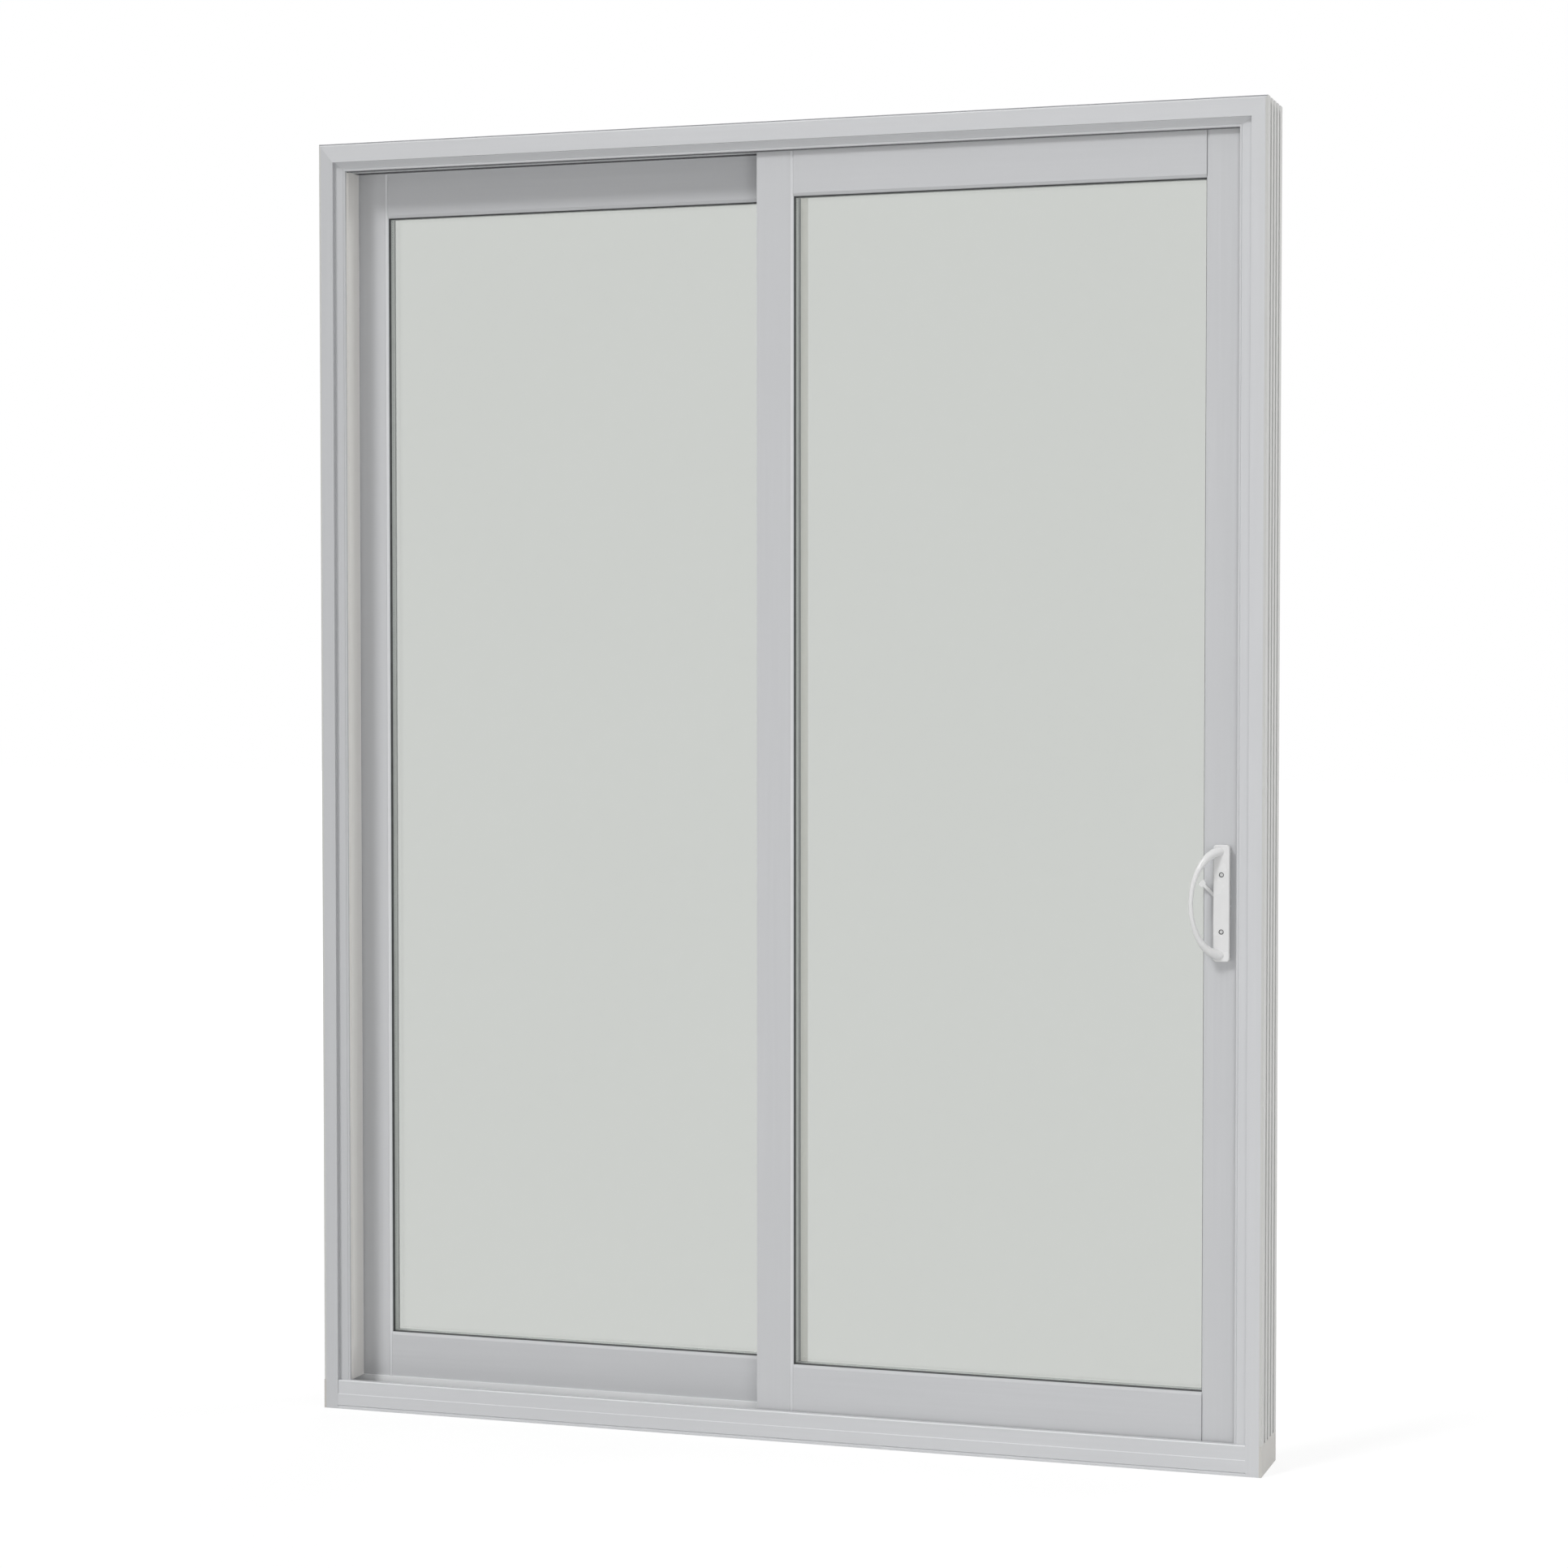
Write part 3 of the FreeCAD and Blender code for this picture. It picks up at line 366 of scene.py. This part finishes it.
def nylon_finish():
    """Moulded nylon of the roller wheels, slightly worn."""
    finish, tree, skin = new_finish("roller_nylon")
    cloud = noise(tree, scale=90, detail=3)
    base = mix_tones(tree, spread(tree, cloud), scaled(ROLLER_NYLON, 0.9), ROLLER_NYLON)
    grain = noise(tree, scale=1200, detail=2)
    feed(tree, skin, Base_Color=base, Roughness=spread(tree, cloud, low=0.35, high=0.5),
         Normal=bump(tree, grain, strength=0.08, depth=0.1 * MM))
    return finish


def enamel_finish():
    """White baked enamel over a casting: glossy, slightly wavy."""
    finish, tree, skin = new_finish("handle_enamel")
    cloud = noise(tree, scale=40, detail=2)
    base = mix_tones(tree, spread(tree, cloud), scaled(HANDLE_ENAMEL, 0.97), HANDLE_ENAMEL)
    waves = noise(tree, scale=260, detail=2)
    feed(tree, skin, Base_Color=base, Specular_IOR_Level=0.45,
         Roughness=spread(tree, cloud, low=0.2, high=0.3),
         Normal=bump(tree, waves, strength=0.05, depth=0.2 * MM))
    return finish


# Dressing the solids

def middle(node):
    """Middle of a solid's box."""
    low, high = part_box(node)
    return (low + high) / 2


def sill_finish():
    """Sill vinyl with painted light: a paler channel, and painted highlight lines along the ledge and the
    front top edge.
    """
    front_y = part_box("left_jamb_cover")[0].y - EDGE_ROOM
    back_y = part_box("fixed_meeting_stile")[0].y + EDGE_ROOM
    low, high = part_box("sill")
    ledge = (LEDGE_HEIGHT - LEDGE_WIDTH / 2, LEDGE_HEIGHT + LEDGE_WIDTH / 2)
    return vinyl_finish("sill_vinyl", FRAME_VINYL, ALONG_X, [
        # painted light inside the channel, then painted highlight lines on the ledge and on the front top
        # edge
        ({"Y": (front_y, back_y)}, LIGHTENED_CHANNEL_VINYL),
        ({"Y": (-FAR, front_y), "Z": ledge}, PAINTED_HIGHLIGHT_VINYL),
        ({"Y": (-FAR, low.y + ARRIS_DEPTH), "Z": (high.z - ARRIS_WIDTH, FAR)}, PAINTED_HIGHLIGHT_VINYL)])


def frame_finishes(plated):
    """Finishes of the frame's profiles and fittings; the jambs' ribbed outer sides and the whole left jamb
    get darker tones as painted shade.
    """
    ribs_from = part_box("right_jamb")[1].x - RIB_DEPTH
    cover = vinyl_finish("cover_vinyl", COVER_VINYL, ALONG_Z)
    pad = vinyl_finish("pad_vinyl", PAD_VINYL, ALONG_Z)
    return {
        "head": vinyl_finish("frame_vinyl_cross", FRAME_VINYL, ALONG_X),
        "sill": sill_finish(),
        # the left jamb's tone is painted shade, darker than the head and right jamb though all are the same
        # vinyl
        "left_jamb": vinyl_finish("frame_vinyl_left_shaded", SHADED_LEFT_JAMB_VINYL, ALONG_Z,
                                  [({"X": (-FAR, -ribs_from)}, SHADED_RIB_VINYL)]),
        "right_jamb": vinyl_finish("frame_vinyl_right", FRAME_VINYL, ALONG_Z,
                                   [({"X": (ribs_from, FAR)}, SHADED_RIB_VINYL)]),
        "left_jamb_cover": cover,
        "right_jamb_cover": cover,
        "left_sill_end_pad": pad,
        "right_sill_end_pad": pad,
        "roller_track": metal_finish("track_metal", TRACK_METAL, ALONG_X, TRACK_GRIT),
        "lock_keeper": plated,
    }


def panel_finishes(rubber):
    """Finishes of both panels: vinyl, glass, spacers and gaskets."""
    upright = vinyl_finish("panel_vinyl_upright", PANEL_VINYL, ALONG_Z)
    cross = vinyl_finish("panel_vinyl_cross", PANEL_VINYL, ALONG_X)
    clear = glass_finish("window_glass", CLEAR_GLASS)
    tinted = glass_finish("window_glass_tinted", TINTED_GLASS)
    finishes = {}
    for panel, outer_stile in (("fixed", "jamb_stile"), ("sliding", "lock_stile")):
        for piece in (outer_stile, "meeting_stile", "outer_bead", "meeting_bead", "interlock"):
            finishes[f"{panel}_{piece}"] = upright
        for piece in ("top_rail", "bottom_rail", "top_bead", "bottom_bead"):
            finishes[f"{panel}_{piece}"] = cross
        finishes[f"{panel}_inner_pane"] = clear
        finishes[f"{panel}_outer_pane"] = tinted
        finishes[f"{panel}_gasket"] = rubber
        finishes[f"{panel}_spacer"] = spacer_finish(f"{panel}_spacer_metal", middle(f"{panel}_spacer").y)
    # painted light along the right edges of three stiles: highlight bands beside the glass, and a pale side
    # on the fixed meeting stile
    for name, width, painted_light_colour in (("fixed_meeting_stile", EDGE_ROOM, LIT_SIDE_VINYL),
                                     ("fixed_jamb_stile", BAND_WIDTH, PAINTED_HIGHLIGHT_VINYL),
                                     ("sliding_meeting_stile", BAND_WIDTH, PAINTED_HIGHLIGHT_VINYL)):
        band = (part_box(name)[1].x - width, FAR)
        finishes[name] = vinyl_finish(f"{name}_vinyl", PANEL_VINYL, ALONG_Z, [({"X": band}, painted_light_colour)])
    return finishes


def fitting_finishes(enamel, plated):
    """Finishes of the handles, the latch, the lock's face plate and the rollers."""
    finishes = {"lock_face_plate": plated}
    for name in ("interior_handle", "exterior_handle", "thumb_latch"):
        finishes[name] = enamel
    nylon = nylon_finish()
    for side in ("left", "right"):
        finishes[f"{side}_roller_housing"] = plated
        finishes[f"{side}_roller_wheel"] = nylon
    return finishes


def dress_solids(enamel, plated, rubber):
    """Give every solid its finish."""
    finishes = frame_finishes(plated) | panel_finishes(rubber) | fitting_finishes(enamel, plated)
    for name, node in frame["nodes"].items():
        node.data.materials.clear()
        node.data.materials.append(finishes[name])


# Rubber wedges

def new_object(name, content):
    holder = bpy.data.objects.new(name, content)
    bpy.context.scene.collection.objects.link(holder)
    return holder


def add_wedge(panel, left, right, body, rubber):
    """Sloping rubber lip between a panel's vinyl and its glass, all round the opening."""
    lip_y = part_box(f"{panel}_gasket")[0].y
    pane_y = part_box(f"{panel}_inner_pane")[0].y
    low_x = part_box(left)[1].x
    high_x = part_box(right)[0].x
    low_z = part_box(f"{panel}_bottom_rail")[1].z
    high_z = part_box(f"{panel}_top_rail")[0].z

    def ring(y, inset):
        return [(low_x + inset, y, low_z + inset), (high_x - inset, y, low_z + inset),
                (high_x - inset, y, high_z - inset), (low_x + inset, y, high_z - inset)]

    rings = [ring(lip_y, 0), ring(pane_y, WEDGE_REACH), ring(pane_y, 0)]
    corners = [corner for each in rings for corner in each]
    faces = []
    for start, following in ((0, 4), (4, 8), (8, 0)):
        for corner in range(4):
            after = (corner + 1) % 4
            faces.append((start + corner, start + after, following + after, following + corner))
    mesh = bpy.data.meshes.new(f"{panel}_glazing_wedge")
    mesh.from_pydata(corners, [], faces)
    mesh.materials.append(rubber)
    wedge = new_object(f"{panel}_glazing_wedge", mesh)
    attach(wedge, body)


# Repeated pieces, each grown from a few points or lines

def new_growth(name, sizes):
    """Empty tree with its named sizes, and the outputs of its input node."""
    tree = bpy.data.node_groups.new(name, "GeometryNodeTree")
    tree.interface.new_socket("Geometry", in_out="INPUT", socket_type="NodeSocketGeometry")
    for label, kind in sizes.items():
        tree.interface.new_socket(label, in_out="INPUT", socket_type=f"NodeSocket{kind}")
    tree.interface.new_socket("Geometry", in_out="OUTPUT", socket_type="NodeSocketGeometry")
    return tree, add(tree, "NodeGroupInput").outputs


def end_growth(tree, shape, finish):
    real = add(tree, "GeometryNodeRealizeInstances", {"Geometry": shape})
    dressed = add(tree, "GeometryNodeSetMaterial", {"Geometry": real.outputs[0], "Material": finish})
    add(tree, "NodeGroupOutput", {"Geometry": dressed.outputs[0]})
    return tree


def screw_growth(name, finish):
    """Low round head with a cross recess on every point."""
    tree, size = new_growth(name, {"Radius": "Float", "Height": "Float", "Slot": "Float", "Turn": "Vector"})
    crown = calculate(tree, "MULTIPLY", size["Radius"], SCREW_CROWN)
    head = add(tree, "GeometryNodeMeshCone", {
        "Vertices": SCREW_SIDES, "Radius Top": crown, "Radius Bottom": size["Radius"],
        "Depth": size["Height"]})
    length = calculate(tree, "MULTIPLY", size["Radius"], SLOT_LENGTH)
    bar_size = add(tree, "ShaderNodeCombineXYZ", {"X": length, "Y": size["Slot"], "Z": size["Height"]})
    bar = add(tree, "GeometryNodeMeshCube", {"Size": bar_size.outputs[0]})
    top = add(tree, "ShaderNodeCombineXYZ", {"Z": size["Height"]})
    cut = head.outputs["Mesh"]
    for quarters, depth in enumerate(SLOT_DEPTHS):
        turned = add(tree, "GeometryNodeTransform", {
            "Geometry": bar.outputs["Mesh"], "Translation": top.outputs[0],
            "Rotation": (0, 0, quarters * QUARTER_TURN), "Scale": (1, 1, depth)})
        cut = add(tree, "GeometryNodeMeshBoolean", {"Mesh 1": cut, "Mesh 2": turned.outputs[0]},
                  operation="DIFFERENCE").outputs["Mesh"]
    placed = add(tree, "GeometryNodeInstanceOnPoints", {
        "Points": size["Geometry"], "Instance": cut, "Rotation": size["Turn"]})
    return end_growth(tree, placed.outputs[0], finish)


def shade_disc_growth(finish):
    """Thin flat disc on every point."""
    tree, size = new_growth("shade_disc", {"Radius": "Float", "Height": "Float", "Turn": "Vector"})
    disc = add(tree, "GeometryNodeMeshCone", {
        "Vertices": SCREW_SIDES, "Radius Top": size["Radius"], "Radius Bottom": size["Radius"],
        "Depth": size["Height"]})
    placed = add(tree, "GeometryNodeInstanceOnPoints", {
        "Points": size["Geometry"], "Instance": disc.outputs["Mesh"], "Rotation": size["Turn"]})
    return end_growth(tree, placed.outputs[0], finish)


def pile_growth(finish):
    """Upright tufts along every line, on one backing strip."""
    tree, size = new_growth("pile_growth", {
        "Pitch": "Float", "Bristle": "Float", "Thickness": "Float", "Seed": "Int",
        "Backing": "Vector", "Middle": "Vector", "Turn": "Vector"})
    line = add(tree, "GeometryNodeMeshToCurve", {"Mesh": size["Geometry"]})
    stops = add(tree, "GeometryNodeResampleCurve", {"Curve": line.outputs[0], "Length": size["Pitch"]},
                mode="LENGTH")
    tip = calculate(tree, "MULTIPLY", size["Thickness"], TUFT_TIP)
    tuft = add(tree, "GeometryNodeMeshCone", {
        "Vertices": TUFT_SIDES, "Radius Top": tip, "Radius Bottom": size["Thickness"],
        "Depth": size["Bristle"]})
    height = add(tree, "FunctionNodeRandomValue", {"Min": TUFT_SHORTEST, "Max": 1.0, "Seed": size["Seed"]})
    stretch = add(tree, "ShaderNodeCombineXYZ", {"X": 1.0, "Y": 1.0, "Z": height.outputs["Value"]})
    tufts = add(tree, "GeometryNodeInstanceOnPoints", {
        "Points": stops.outputs[0], "Instance": tuft.outputs["Mesh"], "Rotation": size["Turn"],
        "Scale": stretch.outputs[0]})
    strip = add(tree, "GeometryNodeMeshCube", {"Size": size["Backing"]})
    laid = add(tree, "GeometryNodeTransform", {
        "Geometry": strip.outputs["Mesh"], "Translation": size["Middle"]})
    both = add(tree, "GeometryNodeJoinGeometry", {"Geometry": laid.outputs[0]})
    tree.links.new(tufts.outputs[0], both.inputs["Geometry"])
    return end_growth(tree, both.outputs[0], finish)


def grow(name, tree, sizes, points, lines=()):
    """Plain mesh of what a tree grows on these points and lines."""
    seed = bpy.data.meshes.new(f"{name}_seed")
    seed.from_pydata(points, lines, [])
    piece = new_object(name, seed)
    growth = piece.modifiers.new("growth", "NODES")
    growth.node_group = tree
    for socket in tree.interface.items_tree:
        if socket.in_out == "INPUT" and socket.name in sizes:
            growth[socket.identifier] = sizes[socket.name]
    grown = bpy.data.meshes.new_from_object(piece.evaluated_get(bpy.context.evaluated_depsgraph_get()))
    piece.modifiers.remove(growth)
    piece.data = grown
    return piece


def add_handle_screws(enamel, rubber):
    """Screws of the room handle's plate, each on a dark disc that paints the shade of its recess."""
    latch = next(joint for joint in frame["joints"] if joint["name"] == "thumb_latch_turn")
    spot = Vector(latch["pos_m"])
    spot.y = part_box("sliding_lock_stile")[0].y - PLATE_DEPTH + RECESS_DEPTH
    spot.z = middle("interior_handle").z
    reach = Vector((0, 0, HANDLE_SCREW_REACH))
    spots = [spot - reach, spot + reach]
    to_room = {"Turn": (QUARTER_TURN, 0, 0)}
    screws = grow("handle_screws", screw_growth("enamelled_screw", enamel), HANDLE_SCREW | to_room, spots)
    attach(screws, "sliding_panel")
    shade_discs = grow("handle_screw_shade_discs", shade_disc_growth(rubber), SHADE_DISC | to_room, spots)
    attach(shade_discs, "sliding_panel")


def add_plate_screws(plated):
    """Screws of the lock's face plate and of the keeper."""
    steel = screw_growth("plated_screw", plated)
    for name, plate, side, body in (("lock_plate_screws", "lock_face_plate", 1, "sliding_panel"),
                                    ("keeper_screws", "lock_keeper", -1, "frame")):
        low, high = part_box(plate)
        spot = middle(plate)
        spot.x = high.x if side > 0 else low.x
        reach = Vector((0, 0, (high.z - low.z) / 2 - PLATE_SCREW_INSET))
        screws = grow(name, steel, PLATE_SCREW | {"Turn": (0, side * QUARTER_TURN, 0)},
                      [spot - reach, spot + reach])
        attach(screws, body)


def lay_pile(name, tree, start, end, across, facing):
    """Pile weatherstrip between two points, its rows set off along an axis.

    Facing is +1 where the bristles point to +Y.
    """
    run = end - start
    root = Vector((0, facing * PILE_BACKING, 0))
    points = []
    lines = []
    for row in PILE_ROWS:
        lines.append((len(points), len(points) + 1))
        points.append(start + root + across * row)
        points.append(end + root + across * row)
    sizes = PILE_SIZES | {
        "Backing": Vector((abs(run.x), PILE_BACKING, abs(run.z))) + across * PILE_WIDTH,
        "Middle": (start + end + root) / 2,
        "Turn": (-facing * QUARTER_TURN, 0, 0),
    }
    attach(grow(name, tree, sizes, points, lines), "frame")


def add_pile():
    """Weatherstrips on the head's lip and fin, and on the lips of the lock jamb and the sill."""
    tree = pile_growth(pile_finish())
    lip_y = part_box("head")[0].y + LIP_BACK
    fin_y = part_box("left_jamb_cover")[1].y
    head_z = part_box("head")[0].z + PILE_EDGE
    sill_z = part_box("sill")[1].z - PILE_INSET
    near_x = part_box("right_jamb")[0].x
    jamb_x = near_x + PILE_INSET
    far_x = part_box("left_jamb_cover")[1].x + PILE_END
    up = Vector((0, 0, 1))
    for name, y, z, facing in (("head_pile", lip_y, head_z - PILE_HANG, 1), ("fin_pile", fin_y, head_z, -1),
                               ("sill_pile", lip_y, sill_z, 1)):
        lay_pile(name, tree, Vector((far_x, y, z)), Vector((near_x, y, z)), up, facing)
    lay_pile("jamb_pile", tree, Vector((jamb_x, lip_y, sill_z)), Vector((jamb_x, lip_y, head_z)),
             Vector((1, 0, 0)), 1)


# Surroundings

def add_lamp(lamp, place, travel):
    """Lamp that lights along its travel and is not seen itself."""
    holder = new_object(lamp.name, lamp)
    holder.location = place
    holder.rotation_euler = travel.to_track_quat("-Z", "Y").to_euler()
    holder.visible_camera = False
    holder.visible_transmission = False
    return holder


def add_soft_lamp(name, place, aim, size, power):
    """Round soft lamp."""
    lamp = bpy.data.lights.new(name, "AREA")
    lamp.shape = "DISK"
    lamp.size = size
    lamp.energy = power
    holder = add_lamp(lamp, place, Vector(aim) - Vector(place))
    holder.visible_glossy = False


def light_room():
    """White surroundings for the eye, an even soft glow for the surfaces, and the lamps."""
    world = bpy.data.worlds.new("studio")
    world.use_nodes = True
    bpy.context.scene.world = world
    tree = world.node_tree
    seen = ray_is(tree, "Is Camera Ray", "Is Glossy Ray", "Is Transmission Ray")
    strength = add(tree, "ShaderNodeMapRange", {"Value": seen, "To Min": ROOM_GLOW, "To Max": 1.0})
    feed(tree, tree.nodes["Background"], Color=WHITE, Strength=strength.outputs[0])

    key = bpy.data.lights.new("key", "SUN")
    key.energy = KEY_STRENGTH
    key.angle = KEY_SPREAD
    add_lamp(key, KEY_PLACE, KEY_TRAVEL)
    for name, values in SOFT_LAMPS.items():
        add_soft_lamp(name, **values)


def floor_finish():
    """White to the eye, with a share of the real shadow near the door; plain matt to the lamps."""
    finish = bpy.data.materials.new("floor_white")
    finish.use_nodes = True
    tree = finish.node_tree
    tree.nodes.clear()
    matt = add(tree, "ShaderNodeBsdfDiffuse", {"Color": scaled(WHITE, FLOOR_ALBEDO)}).outputs[0]
    white = add(tree, "ShaderNodeEmission", {"Strength": FLOOR_WHITE}).outputs[0]
    even = add(tree, "ShaderNodeEmission", {"Strength": FLOOR_MIRRORED}).outputs[0]
    distance = add(tree, "ShaderNodeVectorMath", {0: own_place(tree)}, operation="LENGTH").outputs["Value"]
    share = add(tree, "ShaderNodeMapRange", {
        "Value": distance, "From Min": FLOOR_SHADOW_NEAR, "From Max": FLOOR_SHADOW_FAR,
        "To Min": FLOOR_SHADOW_SHARE, "To Max": 0.0}).outputs[0]
    shown = mix_shaders(tree, share, white, matt)
    direct = mix_shaders(tree, ray_is(tree, "Is Camera Ray"), matt, shown)
    final = mix_shaders(tree, ray_is(tree, "Is Glossy Ray", "Is Transmission Ray"), direct, even)
    output = add(tree, "ShaderNodeOutputMaterial", {"Surface": final})
    output.is_active_output = True
    return finish


def lay_floor():
    """Pale floor that looks white and keeps a faint shadow round the door."""
    half = FLOOR_SIZE / 2
    corners = [(x, y, -FLOOR_DROP) for x, y in ((-half, -half), (half, -half), (half, half), (-half, half))]
    mesh = bpy.data.meshes.new("floor")
    mesh.from_pydata(corners, [], [(0, 1, 2, 3)])
    mesh.materials.append(floor_finish())
    floor = new_object("floor", mesh)


def set_camera():
    camera = bpy.data.cameras.new("view")
    camera.lens = CAMERA_LENS
    camera.sensor_width = CAMERA_SENSOR
    holder = new_object("view", camera)
    holder.location = CAMERA_PLACE
    holder.rotation_euler = (QUARTER_TURN - CAMERA_DIP, 0, CAMERA_TURN)
    bpy.context.scene.camera = holder


bpy.context.scene.view_settings.view_transform = "Standard"
enamel_white = enamel_finish()
plated_zinc = metal_finish("plated_steel", PLATED_STEEL, ALONG_Z, PLATED_GRIT)
black_rubber = rubber_finish()
dress_solids(enamel_white, plated_zinc, black_rubber)
add_handle_screws(enamel_white, black_rubber)
add_plate_screws(plated_zinc)
add_wedge("fixed", "fixed_jamb_stile", "fixed_meeting_stile", "frame", black_rubber)
add_wedge("sliding", "sliding_meeting_stile", "sliding_lock_stile", "sliding_panel", black_rubber)
add_pile()
light_room()
lay_floor()
set_camera()
